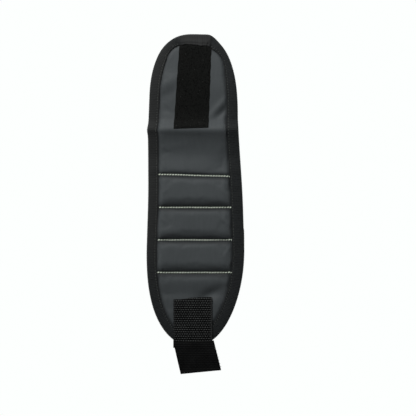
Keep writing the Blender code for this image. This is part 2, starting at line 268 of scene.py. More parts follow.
def splitSheet(name, whole, thickness, material, replaced):
    # cuts a sheet that already lies at rest into one piece for each bend, and thickens it
    setValues(whole.data, "wholeNormal", readAll(whole.data.vertices, "normal", 3), "FLOAT_VECTOR")
    made = []
    for number, bend in enumerate(bendNames, 1):
        bm = bmesh.new()
        bm.from_mesh(whole.data)
        alongLayer = bm.verts.layers.float["along"]
        outside = [
            face for face in bm.faces
            if not cuts[number - 1] <= sum(v[alongLayer] for v in face.verts) / len(face.verts) < cuts[number]
        ]
        bmesh.ops.delete(bm, geom=outside, context="FACES")
        piece = newObject(f"{name}_{number}", meshFrom(bm, f"{name}_{number}"), material)
        area = sum(face.area for face in piece.data.polygons)
        wall = piece.modifiers.new("thickness", "SOLIDIFY")
        wall.thickness = thickness
        wall.offset = 0
        settled(piece)
        keepSmooth(piece)
        addBlend(piece, bend)
        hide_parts(*replaced[bend])
        made.append((piece, area))
    bpy.data.objects.remove(whole)
    return made


def addNode(tree, kind, **settings):
    node = tree.nodes.new(kind)
    for key, value in settings.items():
        if isinstance(node.inputs.get(key), bpy.types.NodeSocket):
            node.inputs[key].default_value = value
        else:
            setattr(node, key, value)
    return node


def sums(tree, operation, first, second=None, third=None):
    node = addNode(tree, "ShaderNodeMath", operation=operation)
    for place, value in enumerate((first, second, third)):
        if isinstance(value, bpy.types.NodeSocket):
            tree.links.new(value, node.inputs[place])
        elif value is not None:
            node.inputs[place].default_value = value
    return node.outputs[0]


def mixColours(tree, share, under, over):  # lays a plain colour over another by a share
    mixed = addNode(tree, "ShaderNodeMix", data_type="RGBA")
    tree.links.new(share, mixed.inputs["Factor"])
    tree.links.new(under, mixed.inputs[6])
    mixed.inputs[7].default_value = (*over, 1)
    return mixed.outputs[2]


def newMaterial(name):
    material = bpy.data.materials.new(name)
    material.use_nodes = True
    return material, material.node_tree, material.node_tree.nodes["Principled BSDF"]


def newGroup(name, inputs, outputs):
    group = bpy.data.node_groups.new(name, "ShaderNodeTree")
    for label, kind, value in inputs:
        made = group.interface.new_socket(label, in_out="INPUT", socket_type=kind)
        if value is not None:
            made.default_value = value
    for label, kind in outputs:
        group.interface.new_socket(label, in_out="OUTPUT", socket_type=kind)
    return group, group.nodes.new("NodeGroupInput"), group.nodes.new("NodeGroupOutput")


def weaveGroup():  # plain weave: threads pass over and under each other
    group, given, out = newGroup(
        "threadWeave",
        [("Vector", "NodeSocketVector", None), ("Across", "NodeSocketFloat", 0.5 * mm),
         ("Along", "NodeSocketFloat", 0.5 * mm), ("Ribbed", "NodeSocketFloat", 0.0),
         ("Dotted", "NodeSocketFloat", 0.0)],
        [("Height", "NodeSocketFloat"), ("Slub", "NodeSocketFloat")],
    )
    parts = addNode(group, "ShaderNodeSeparateXYZ")
    group.links.new(given.outputs["Vector"], parts.inputs[0])
    threadsAcross = sums(group, "DIVIDE", parts.outputs[0], given.outputs["Across"])
    threadsAlong = sums(group, "DIVIDE", parts.outputs[1], given.outputs["Along"])
    across = sums(group, "MULTIPLY", threadsAcross, math.pi)
    along = sums(group, "MULTIPLY", threadsAlong, math.pi)
    sinAcross = sums(group, "SINE", across)
    sinAlong = sums(group, "SINE", along)
    checks = sums(group, "MULTIPLY_ADD", sums(group, "MULTIPLY", sinAcross, sinAlong), 0.5, 0.5)
    ribs = sums(group, "ABSOLUTE", sinAcross)
    mixed = addNode(group, "ShaderNodeMix")
    group.links.new(given.outputs["Ribbed"], mixed.inputs["Factor"])
    group.links.new(checks, mixed.inputs["A"])
    group.links.new(ribs, mixed.inputs["B"])
    row = sums(group, "FLOOR", sums(group, "DIVIDE", along, math.pi))
    shifted = sums(group, "SINE", sums(group, "MULTIPLY_ADD", row, math.pi / 2, across))
    dots = sums(group, "MULTIPLY", sums(group, "ABSOLUTE", shifted), sums(group, "ABSOLUTE", sinAlong))
    dotted = addNode(group, "ShaderNodeMix")
    group.links.new(given.outputs["Dotted"], dotted.inputs["Factor"])
    group.links.new(mixed.outputs["Result"], dotted.inputs["A"])
    group.links.new(sums(group, "POWER", dots, 1.6), dotted.inputs["B"])
    group.links.new(dotted.outputs["Result"], out.inputs["Height"])
    slub = addNode(group, "ShaderNodeTexNoise", Scale=420.0, Detail=2.0)
    stretch = addNode(group, "ShaderNodeMapping")
    stretch.inputs["Scale"].default_value = (1, 0.18, 1)
    group.links.new(given.outputs["Vector"], stretch.inputs["Vector"])
    group.links.new(stretch.outputs[0], slub.inputs["Vector"])
    group.links.new(slub.outputs[0], out.inputs["Slub"])
    return group


def ageGroup():  # soft blotches, fine fuzz and lint specks
    group, given, out = newGroup(
        "clothAge",
        [("Vector", "NodeSocketVector", None), ("Blotch", "NodeSocketFloat", 70.0),
         ("Fuzz", "NodeSocketFloat", 1400.0)],
        [("Blotches", "NodeSocketFloat"), ("Fuzz", "NodeSocketFloat"), ("Lint", "NodeSocketFloat")],
    )
    blotch = addNode(group, "ShaderNodeTexNoise", Detail=3.0, Roughness=0.55)
    fuzz = addNode(group, "ShaderNodeTexNoise", Detail=1.0)
    lint = addNode(group, "ShaderNodeTexVoronoi", Scale=260.0)
    for node, key in ((blotch, "Blotch"), (fuzz, "Fuzz")):
        group.links.new(given.outputs["Vector"], node.inputs["Vector"])
        group.links.new(given.outputs[key], node.inputs["Scale"])
    group.links.new(given.outputs["Vector"], lint.inputs["Vector"])
    speck = sums(group, "LESS_THAN", lint.outputs["Distance"], 0.07)
    group.links.new(blotch.outputs[0], out.inputs["Blotches"])
    group.links.new(fuzz.outputs[0], out.inputs["Fuzz"])
    group.links.new(speck, out.inputs["Lint"])
    return group


weave = weaveGroup()
age = ageGroup()


def clothMaterial(name, look):
    # look: dark and light colours, rough, sheen, weave (across, along, ribbed), depth, blotch, lint
    material, tree, shader = newMaterial(name)
    flat = addNode(tree, "ShaderNodeUVMap", uv_map="cloth")
    place = addNode(tree, "ShaderNodeTexCoord")
    threads = addNode(tree, "ShaderNodeGroup", node_tree=weave)
    for label, value in zip(("Across", "Along", "Ribbed"), look["weave"]):
        threads.inputs[label].default_value = value
    threads.inputs["Dotted"].default_value = look.get("dotted", 0.0)
    worn = addNode(tree, "ShaderNodeGroup", node_tree=age)
    worn.inputs["Blotch"].default_value = look.get("blotch", 70.0)
    tree.links.new(flat.outputs[0], threads.inputs["Vector"])
    tree.links.new(place.outputs["Object"], worn.inputs["Vector"])
    shade = sums(tree, "MULTIPLY", threads.outputs["Height"], look["weaveTone"])
    shade = sums(tree, "MULTIPLY_ADD", threads.outputs["Slub"], look.get("slubTone", 0.2), shade)
    shade = sums(tree, "MULTIPLY_ADD", worn.outputs["Blotches"], look.get("blotchTone", 0.5), shade)
    shade = sums(tree, "MULTIPLY_ADD", worn.outputs["Fuzz"], look.get("fuzzTone", 0.15), shade)
    tone = addNode(tree, "ShaderNodeValToRGB")
    tree.links.new(shade, tone.inputs["Fac"])
    tone.color_ramp.elements[0].position = look.get("low", 0.2)
    tone.color_ramp.elements[1].position = look.get("high", 0.85)
    tone.color_ramp.elements[0].color = (*look["dark"], 1)
    tone.color_ramp.elements[1].color = (*look["light"], 1)
    colour = tone.outputs["Color"]
    if look.get("lint"):
        specks = sums(tree, "MULTIPLY", worn.outputs["Lint"], look["lint"])
        colour = mixColours(tree, specks, colour, (0.24, 0.25, 0.25))
    if look.get("toneFrom"):  # a share painted on the mesh, mixed to the mask colour: painted shade on the cover, painted light on the tape, a lighter edge on the webbing
        painted = addNode(tree, "ShaderNodeAttribute", attribute_name=look["toneFrom"])
        colour = mixColours(tree, painted.outputs["Fac"], colour, look["maskColour"])
    tree.links.new(colour, shader.inputs["Base Color"])
    rough = sums(tree, "MULTIPLY_ADD", worn.outputs["Blotches"], 0.16, look["rough"] - 0.08)
    tree.links.new(rough, shader.inputs["Roughness"])
    fuzzDepth = look.get("fuzzDepth", 0.3)
    height = sums(tree, "MULTIPLY_ADD", worn.outputs["Fuzz"], fuzzDepth, threads.outputs["Height"])
    bump = addNode(tree, "ShaderNodeBump", Strength=look.get("bump", 0.6), Distance=look["depth"])
    tree.links.new(height, bump.inputs["Height"])
    tree.links.new(bump.outputs[0], shader.inputs["Normal"])
    shader.inputs["Specular IOR Level"].default_value = look.get("specular", 0.35)
    shader.inputs["Sheen Weight"].default_value = look.get("sheen", 0.0)
    shader.inputs["Sheen Roughness"].default_value = look.get("sheenRough", 0.4)
    return material


looks = {
    "shellFabric": {
        "dark": (0.057, 0.065, 0.070), "light": (0.090, 0.102, 0.109), "rough": 0.62, "sheen": 0.08,
        "weave": (0.42 * mm, 0.42 * mm, 0.0), "weaveTone": 0.35, "depth": 0.06 * mm, "blotch": 60.0,
        "slubTone": 0.25, "blotchTone": 0.35, "fuzzTone": 0.25, "specular": 0.22,
        # the mask colour is painted shade, darker beside the stitching and the tape's inner edge
        "toneFrom": "paintedShade", "maskColour": (0.018, 0.020, 0.022),
    },
    "bindingTape": {
        "dark": (0.0055, 0.0068, 0.0075), "light": (0.021, 0.024, 0.0255), "rough": 0.7, "sheen": 0.03,
        # its mask colour is painted light, lighter on the tape's top and left side
        "weave": (1.7 * mm, 0.5 * mm, 0.85), "weaveTone": 0.3, "depth": 0.16 * mm, "toneFrom": "mixWeight",
        "maskColour": (0.037, 0.038, 0.038), "fuzzTone": 0.6, "bump": 0.9, "specular": 0.16, "lint": 0.10,
        "blotch": 520.0, "blotchTone": 0.9, "low": 0.80, "high": 1.22,
    },
    "liningMesh": {
        "dark": (0.006, 0.006, 0.007), "light": (0.040, 0.042, 0.044), "rough": 0.8, "sheen": 0.05,
        "weave": (1.5 * mm, 1.5 * mm, 0.0), "dotted": 1.0, "weaveTone": 0.75, "depth": 0.35 * mm, "bump": 0.9,
        "slubTone": 0.05, "blotchTone": 0.15, "specular": 0.2,
    },
    "loopPile": {
        "dark": (0.0003, 0.0004, 0.0004), "light": (0.0140, 0.0148, 0.0142), "rough": 0.95, "sheen": 0.0,
        "weave": (0.9 * mm, 0.7 * mm, 0.0), "weaveTone": 0.25, "depth": 0.3 * mm, "bump": 1.0,
        "fuzzTone": 0.9, "fuzzDepth": 1.2, "blotch": 850.0, "lint": 0.3, "specular": 0.06, "blotchTone": 0.9,
        "low": 0.96, "high": 1.34,
    },
    "webbing": {
        # the light colour is painted highlight: the raised dots of the black weave are coloured light where
        # they glint
        "dark": (0.0012, 0.0014, 0.0016), "light": (0.130, 0.137, 0.138), "rough": 0.6, "sheen": 0.0,
        "weave": (1.7 * mm, 2.2 * mm, 0.0), "dotted": 1.0, "weaveTone": 0.8, "depth": 0.35 * mm, "bump": 0.9,
        "low": 0.86, "high": 1.22, "slubTone": 0.3, "blotchTone": 0.25, "fuzzTone": 0.2, "specular": 0.08,
        # its mask colour makes the woven edges lighter, most on the right
        "toneFrom": "mixWeight", "maskColour": (0.034, 0.036, 0.037),
    },
    "hookTape": {
        "dark": (0.0012, 0.0013, 0.0016), "light": (0.0190, 0.0195, 0.0200), "rough": 0.6, "sheen": 0.0,
        "low": 0.5, "high": 1.3,
        "weave": (1.4 * mm, 1.8 * mm, 0.0), "dotted": 1.0, "weaveTone": 0.7, "depth": 0.18 * mm, "bump": 0.7,
        "specular": 0.1,
    },
    "seamThread": {
        "dark": (0.40, 0.46, 0.37), "light": (0.90, 1.0, 0.86), "rough": 0.55, "sheen": 0.1,
        "weave": (0.5 * mm, 0.35 * mm, 0.6), "weaveTone": 0.8, "depth": 0.12 * mm, "bump": 0.8,
    },
    "edgeThread": {
        "dark": (0.040, 0.044, 0.042), "light": (0.13, 0.14, 0.13), "rough": 0.6,
        "weave": (0.5 * mm, 0.35 * mm, 0.6), "weaveTone": 0.8, "depth": 0.1 * mm,
    },
    "padFoam": {
        "dark": (0.22, 0.23, 0.235), "light": (0.36, 0.37, 0.38), "rough": 0.95,
        "weave": (0.7 * mm, 0.6 * mm, 0.0), "weaveTone": 0.2, "depth": 0.2 * mm,
        "fuzzDepth": 1.5, "fuzzTone": 0.5,
    },
}
materials = {name: clothMaterial(name, look) for name, look in looks.items()}
print("materials ready")


tape = {
    "join": rootY + 25.6 * mm,       # where the two ends of the tape meet, on the right
    "step": 0.42 * mm,               # spacing of the rows round the edge
    "arm": 10.3 * mm,                # how far the tape reaches in over the cloth
    "rightWider": 1.0 * mm,
    "cornerNarrower": 2.2 * mm,      # pulled narrow round the flap's left corner
    "rightTurnedUp": 4.6 * mm,       # and more so round the right one
    "flapNarrower": 1.2 * mm,        # and a little beside the patch
    "width": 25 * mm,                # before folding
    "thickness": 0.6 * mm,
    "bottom": 0.32 * mm, "top": 3.8 * mm,
    "rib": 1.7 * mm, "ribDepth": 0.34 * mm,
    "patchLift": 0.95 * mm,          # how much the loop patch lifts the tape that covers its end
    "mitre": 0.5 * mm,               # the fold at the flap's right corner
    "overlap": 0.55 * mm,            # the raised end where the tape closes
    "overlapFrom": 6 * mm, "overlapTo": 22 * mm,
}


def edgeOutline():  # closed line round the band, from the join down the right side and round
    ends = (np.arange(1, 1500) / 1500) ** 3 * 60 * mm
    middle = np.arange(60 * mm, bodyLength - 60 * mm, 0.5 * mm)
    along = np.concatenate([[0], ends, middle, bodyLength - ends[::-1], [bodyLength]])
    wide = halfWidth(along)
    bulge = 0.9 * mm * hump(along, bendAlong["crease"], 5 * mm) - 0.7 * mm * hump(along, 70 * mm, 18 * mm)
    right = np.stack([centreLine(along) + wide, along], 1)
    left = np.stack([centreLine(along) - wide - bulge, along], 1)[::-1]
    right[:, 1] -= 2.3 * mm * hump(right[:, 0], 15.5 * mm, 7 * mm) * (along < 20 * mm)
    right[:, 1] += 1.2 * mm * (1 - soft(right[:, 1], 0, 22 * mm))
    left[:, 1] += 1.2 * mm * (1 - soft(left[:, 1], 0, 22 * mm))
    line = np.concatenate([right, left[1:-1]])
    start = int(np.argmin(np.abs(right[:, 1] - tape["join"])))
    line = np.roll(line, -start, 0)
    line = np.concatenate([line, line[:1]])
    travelled = np.concatenate([[0], np.cumsum(np.linalg.norm(np.diff(line, axis=0), axis=1))])
    rows = int(travelled[-1] / tape["step"])
    even = np.linspace(0, travelled[-1], rows + 1)
    line = np.stack([np.interp(even, travelled, line[:, 0]), np.interp(even, travelled, line[:, 1])], 1)
    ahead = np.roll(line[:-1], -2, 0) - np.roll(line[:-1], 2, 0)
    ahead = np.concatenate([ahead, ahead[:1]])
    ahead /= np.linalg.norm(ahead, axis=1)[:, None]
    inward = np.stack([-ahead[:, 1], ahead[:, 0]], 1)
    return line, inward, even


edgeLine, edgeInward, edgeTravel = edgeOutline()
edgeLength = edgeTravel[-1]
side = edgeLine[:, 0] / np.maximum(halfWidth(edgeLine[:, 1]), 10 * mm)
corner = hump(edgeLine[:, 0], -33 * mm, 16 * mm) * hump(edgeLine[:, 1], 9 * mm, 14 * mm)
turnedUp = hump(edgeLine[:, 0], 31 * mm, 13 * mm) * hump(edgeLine[:, 1], 24 * mm, 22 * mm)
edgeArm = tape["arm"] + tape["rightWider"] * np.clip(side, -1, 1) - tape["cornerNarrower"] * corner
rightSide = hump(edgeLine[:, 1], 62 * mm, 26 * mm) * (edgeLine[:, 0] > 0)
edgeArm -= tape["rightTurnedUp"] * turnedUp + tape["flapNarrower"] * rightSide
edgeTree = kdtree.KDTree(len(edgeLine))
for index, (x, along) in enumerate(edgeLine):
    edgeTree.insert((x, along, 0), index)
edgeTree.balance()


def fromEdge(across, along):  # distance in from the band's edge, and from the tape's inner edge
    found = [edgeTree.find((x, y, 0)) for x, y in zip(across, along)]
    depth = np.array([hit[2] for hit in found])
    arm = edgeArm[[hit[1] for hit in found]]
    beside = np.abs(across - centreLine(along)) < halfWidth(along) + 1 * mm
    depth = np.where((along > 0) & (along < bodyLength) & beside, depth, -depth)
    return depth, depth - arm


cover = {
    "cell": pocketLength / 20,
    "thickness": 0.8 * mm,
    "level": 2.75 * mm,          # its middle, where the tape holds it
    "pinch": 0.65 * mm,          # how far the stitching pulls it down
    "pocketRise": 5.3 * mm, "pocketRound": 2.6, "crown": 0.68,
    "sideSlope": 6.5 * mm,
    "panelRise": 1.6 * mm, "creaseRoll": 2.7 * mm,
    "seamTilt": 0.030,           # the first line of stitching isn't quite square
    "underTape": 4.5 * mm,
    "besideTape": 0.5 * mm, "atTape": 0.6 * mm,     # stands up beside the tape, pressed down at it
    "pressure": 4.0, "spare": -0.008, "frames": 20, "most": 0.5 * mm, "mostDown": 0.25 * mm,
}

# Folds and dents in the cloth: where (x, distance up from the crease), size, turn in degrees, height
folds = [
    {"x": 23.5, "up": 24, "long": 14, "wide": 3.2, "turn": 47, "high": 1.5},  # diagonal by the patch
    {"x": 27, "up": 17.5, "long": 13, "wide": 3.2, "turn": 47, "high": -1.3},
    {"x": -26, "up": 48, "long": 15, "wide": 6.0, "turn": 28, "high": 1.1},  # left of the patch
    {"x": -26, "up": 36, "long": 14, "wide": 5.0, "turn": 28, "high": -0.7},
    {"x": -30, "up": 70, "long": 14, "wide": 4.0, "turn": 66, "high": 0.5},
    {"x": 28, "up": 60, "long": 22, "wide": 5.0, "turn": 84, "high": 0.4},
    {"x": -20, "up": -16, "long": 16, "wide": 4.0, "turn": 12, "high": 0.3},
    {"x": 15, "up": -164, "long": 15, "wide": 5.5, "turn": 28, "high": -2.6},  # dimple over the strap
    {"x": 32, "up": -171, "long": 8, "wide": 5.5, "turn": -45, "high": -2.6},
    {"x": 26, "up": -33, "long": 11, "wide": 8.0, "turn": 20, "high": -1.4},  # hollow below the crease
    {"x": 31, "up": -64, "long": 6, "wide": 1.6, "turn": -38, "high": 0.55},  # puckers at the seams' ends
    {"x": -31, "up": -62, "long": 6, "wide": 1.8, "turn": 35, "high": 0.4},
    {"x": 32, "up": -94, "long": 6, "wide": 1.6, "turn": -42, "high": 0.6},
    {"x": 33, "up": -119, "long": 7, "wide": 1.5, "turn": 55, "high": 0.7},
    {"x": -32, "up": -90, "long": 5, "wide": 1.6, "turn": -40, "high": 0.45},
]


def foldHeight(across, along):
    up = bendAlong["crease"] - along
    total = np.zeros(len(across))
    for fold in folds:
        angle = math.radians(fold["turn"])
        x = across - fold["x"] * mm
        y = up - fold["up"] * mm
        lengthwise = (x * math.cos(angle) + y * math.sin(angle)) / (fold["long"] * mm)
        sideways = (-x * math.sin(angle) + y * math.cos(angle)) / (fold["wide"] * mm)
        total += fold["high"] * mm * np.exp(-(lengthwise ** 2) - sideways ** 2)
    return total


def seamSlide(across, along):  # moves the cloth's rows onto the slightly tilted stitching
    slide = (cover["seamTilt"] * across + 0.4 * mm) * hump(along, seams[0], 15 * mm)
    return slide + 0.012 * across * hump(along, bendAlong["crease"], 10 * mm)


def coverHeight(across, along, inner):
    rise = np.zeros(len(across))
    for first, last in zip(seams, seams[1:]):
        crown = first + (last - first) * cover["crown"]  # the padding sags towards the lower line
        climb = roundRise(along - first, 8 * mm) * (0.8 + 0.2 * between(along, first, crown))
        rise += cover["pocketRise"] * climb * (1 - between(along, crown, last) ** cover["pocketRound"])
    toPocket = seams[0] - along
    rise += cover["panelRise"] * soft(toPocket, 0.4 * mm, 2.8 * mm) * (1 - soft(toPocket, 3 * mm, 26 * mm))
    past = along - seams[-1]
    rise += cover["panelRise"] * roundRise(past, 8 * mm) * (1 - soft(past, 8 * mm, 23 * mm)) * (past > 0)
    rise += 0.5 * mm * (past > 20 * mm) * soft(past, 20 * mm, 30 * mm)
    down = along - bendAlong["crease"] - 1 * mm
    toRight = soft(across, 4 * mm, 26 * mm)
    mixWeight = np.exp(-np.maximum(down, 0) / (11 * mm + 9 * mm * toRight))
    roll = np.where(down < 0, hump(down, 0, 12 * mm), mixWeight)
    rise += cover["creaseRoll"] * (1 + 0.7 * toRight) * roll * (1 - soft(down, 26 * mm, 38 * mm))
    inPocket = soft(along, seams[0] - 4 * mm, seams[0] + 2 * mm)
    inPocket = inPocket * (1 - soft(along, seams[-1] - 2 * mm, seams[-1] + 4 * mm))
    slope = cover["sideSlope"] * (0.6 + 0.4 * inPocket)
    level = cover["level"] + rise * roundRise(inner - 0.7 * mm, slope)
    for line in seams:
        level -= cover["pinch"] * hump(along, line, 1.3 * mm) * soft(inner, -2 * mm, 1 * mm)
    level += foldHeight(across, along) * soft(inner, -1 * mm, 4 * mm)
    level += cover["besideTape"] * soft(inner, 0.8 * mm, 3.5 * mm) * (1 - inPocket)
    return level - cover["atTape"] * hump(inner, 0.5 * mm, 0.9 * mm)


def paintedShadeShare(along, inner):  # painted shade: the cloth beside the stitching and the tape's inner edge is coloured darker where shade falls
    share = 0.95 * hump(inner, 0.1 * mm, 1.3 * mm)
    for line in seams:
        share = np.maximum(share, 0.9 * hump(along, line + 1.5 * mm, 2.4 * mm))
        share = np.maximum(share, hump(along, line, 1.5 * mm))
    return np.clip(share, 0, 1)


def cutCloth(name, cell, rows, middle, underTape, turned=False):
    # a flat cloth of square cells, cut to the outline where the tape hides its edge
    columns = 2 * math.ceil(band["clothHalfWidth"] / cell)
    bm = bmesh.new()
    bmesh.ops.create_grid(bm, x_segments=columns, y_segments=rows, size=1)
    bmesh.ops.scale(bm, verts=bm.verts, vec=(columns * cell / 2, rows * cell / 2, 1))
    bmesh.ops.translate(bm, verts=bm.verts, vec=(0, rootY - middle, 0))
    if turned:
        bmesh.ops.reverse_faces(bm, faces=bm.faces)
    points = np.array([v.co for v in bm.verts])
    depth, _ = fromEdge(points[:, 0], rootY - points[:, 1])
    outside = [v for v, far in zip(bm.verts, depth) if far < underTape]
    bmesh.ops.delete(bm, geom=outside, context="VERTS")
    mesh = meshFrom(bm, name)
    points = readPoints(mesh)
    across, along = points[:, 0], rootY - points[:, 1]
    setMap(mesh, across, along)
    setValues(mesh, "along", along)
    return mesh, across, along, fromEdge(across, along)[1]


def makeCover():
    cell = cover["cell"]  # a row of points lies on each line of stitching
    rowsUp = math.ceil(seams[0] / cell)
    rowsDown = math.ceil((bodyLength - seams[0]) / cell)
    middle = seams[0] + (rowsDown - rowsUp) * cell / 2
    mesh, across, along, inner = cutCloth("cover", cell, rowsUp + rowsDown, middle, cover["underTape"])
    # the share of painted shade beside the stitching and the tape's inner edge
    setValues(mesh, "paintedShade", paintedShadeShare(along, inner))
    level = coverHeight(across, along, inner)
    writePoints(mesh, np.stack([across, rootY - along, level], 1))
    return newObject("cover", mesh), inner


def fillCover(piece, inner):  # the padding pushes the cloth up between its lines of stitching
    mesh = piece.data
    points = readPoints(mesh)
    along = readAll(mesh.attributes["along"].data, "value")
    held = inner < 0.5 * mm
    for line in seams:
        held |= np.abs(along - line) < cover["cell"] * 0.3
    pins = piece.vertex_groups.new(name="pins")
    pins.add([int(index) for index in np.nonzero(held)[0]], 1.0, "REPLACE")
    cloth = piece.modifiers.new("fill", "CLOTH")
    cloth.settings.quality = 6
    cloth.settings.mass = 0.15
    cloth.settings.tension_stiffness = 30
    cloth.settings.compression_stiffness = 12
    cloth.settings.shear_stiffness = 8
    cloth.settings.bending_stiffness = 0.25
    cloth.settings.air_damping = 4
    cloth.settings.vertex_group_mass = "pins"
    cloth.settings.use_pressure = True
    cloth.settings.uniform_pressure_force = cover["pressure"]
    cloth.settings.shrink_min = cover["spare"]
    cloth.settings.shrink_max = cover["spare"]
    cloth.settings.effector_weights.gravity = 0
    cloth.collision_settings.use_collision = False
    cloth.collision_settings.use_self_collision = False
    cloth.point_cache.frame_start = 1
    cloth.point_cache.frame_end = cover["frames"]
    for number in range(1, cover["frames"] + 1):
        bpy.context.scene.frame_set(number)
    graph = bpy.context.evaluated_depsgraph_get()
    moved = readPoints(piece.evaluated_get(graph).data)
    piece.modifiers.clear()
    piece.vertex_groups.clear()
    bpy.context.scene.frame_set(1)
    shift = moved - points
    size = np.linalg.norm(shift, axis=1)
    print(f"filled cover: moved {size.max() / mm:.2f} mm at most, {size.mean() / mm:.2f} on average")
    shift *= (np.tanh(size / cover["most"]) * cover["most"] / np.maximum(size, 1e-9))[:, None]
    shift[:, 2] = np.maximum(shift[:, 2], -cover["mostDown"])
    writePoints(mesh, points + shift)


coverSheet, coverInner = makeCover()
print("cover laid out:", len(coverSheet.data.vertices), "points")
fillCover(coverSheet, coverInner)


def finishCover(piece):
    mesh = piece.data
    points = readPoints(mesh)
    points[:, 1] -= seamSlide(points[:, 0], readAll(mesh.attributes["along"].data, "value"))
    writePoints(mesh, points)
    lieDown(mesh)
    subdivided(piece)


finishCover(coverSheet)
bodyNames = [
    "flap_tip", "flap_base", "upper_panel", "pocket_1", "pocket_2", "pocket_3", "lower_panel", "strap_end",
]


def nodesFor(kind, sides=("",)):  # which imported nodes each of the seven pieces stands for
    found = {bend: [] for bend in bendNames}
    for number, body in enumerate(bodyNames):
        bend = bendNames[min(number, len(bendNames) - 1)]
        ends = ("",) if body in ("flap_tip", "strap_end") else sides
        found[bend] += [f"{kind}_{body}{end}" for end in ends]
    return found


coverPieces = splitSheet(
    "cover", coverSheet, cover["thickness"], materials["shellFabric"], nodesFor("cover"),
)
print("cover split at the bends")

lining = {
    "cell": 2.4 * mm, "thickness": 1.1 * mm, "underTape": 4 * mm,
    "bound": 1.5 * mm, "free": 0.62 * mm,       # its level in the tape and between
    "wave": 0.12 * mm, "pulledUp": 0.35 * mm,
}


def makeLining():
    look = lining
    rows = math.ceil((bodyLength + 4 * mm) / look["cell"])
    mesh, across, along, inner = cutCloth(
        "lining", look["cell"], rows, bodyLength / 2, look["underTape"], turned=True,
    )
    wave = look["wave"] * np.sin(across / (9 * mm) + 2 * np.sin(along / (17 * mm)))
    level = look["bound"] + (look["free"] - look["bound"]) * soft(inner, -1 * mm, 4 * mm)
    for line in seams:
        level += look["pulledUp"] * hump(along, line, 1.8 * mm)
    level += wave * soft(inner, 1 * mm, 6 * mm)
    writePoints(mesh, np.stack([across, rootY - along, level], 1))
    lieDown(mesh)
    return subdivided(newObject("lining", mesh))


liningPieces = splitSheet(
    "lining", makeLining(), lining["thickness"], materials["liningMesh"], nodesFor("lining"),
)
print("lining done")


def tapeSection(rowArm):  # (depth in from the edge, level, share of the arm) across the folded tape
    bottom, top = tape["bottom"], tape["top"]
    middle, radius = (bottom + top) / 2, (top - bottom) / 2
    section = []
    for share in (1.0, 0.93, 0.86, 0.6, 0.35):
        section.append((radius + (rowArm - radius) * share, bottom, 0.0))
    for step in range(9):
        angle = math.pi * step / 8
        bulge = math.sin(angle)
        section.append((radius - radius * bulge, middle - radius * math.cos(angle), bulge))
    for share in (0.2, 0.4, 0.6, 0.75, 0.84, 0.88, 0.95, 1.0):
        lift = 0.12 * mm * math.sin(math.pi * share)
        if share == 0.84:  # the groove of the stitching
            lift = -0.28 * mm
        elif share == 1.0:
            lift = -0.1 * mm
        section.append((radius + (rowArm - radius) * share, top + lift, 0.0))
    return section


def freshEnd(travel):  # 1 at the raised end where the tape closes, 0 further on
    return 1 - soft(travel, tape["overlapFrom"], tape["overlapTo"])


def puckers(travel):  # the uneven pull of the stitching along the tape
    rng = random.Random(11)
    total = np.zeros(len(travel))
    for _ in range(14):
        length = rng.uniform(5, 17) * mm
        total += rng.uniform(0.3, 1) * np.sin(travel / length * 2 * math.pi + rng.uniform(0, 6.28)) / 4.5
    return total


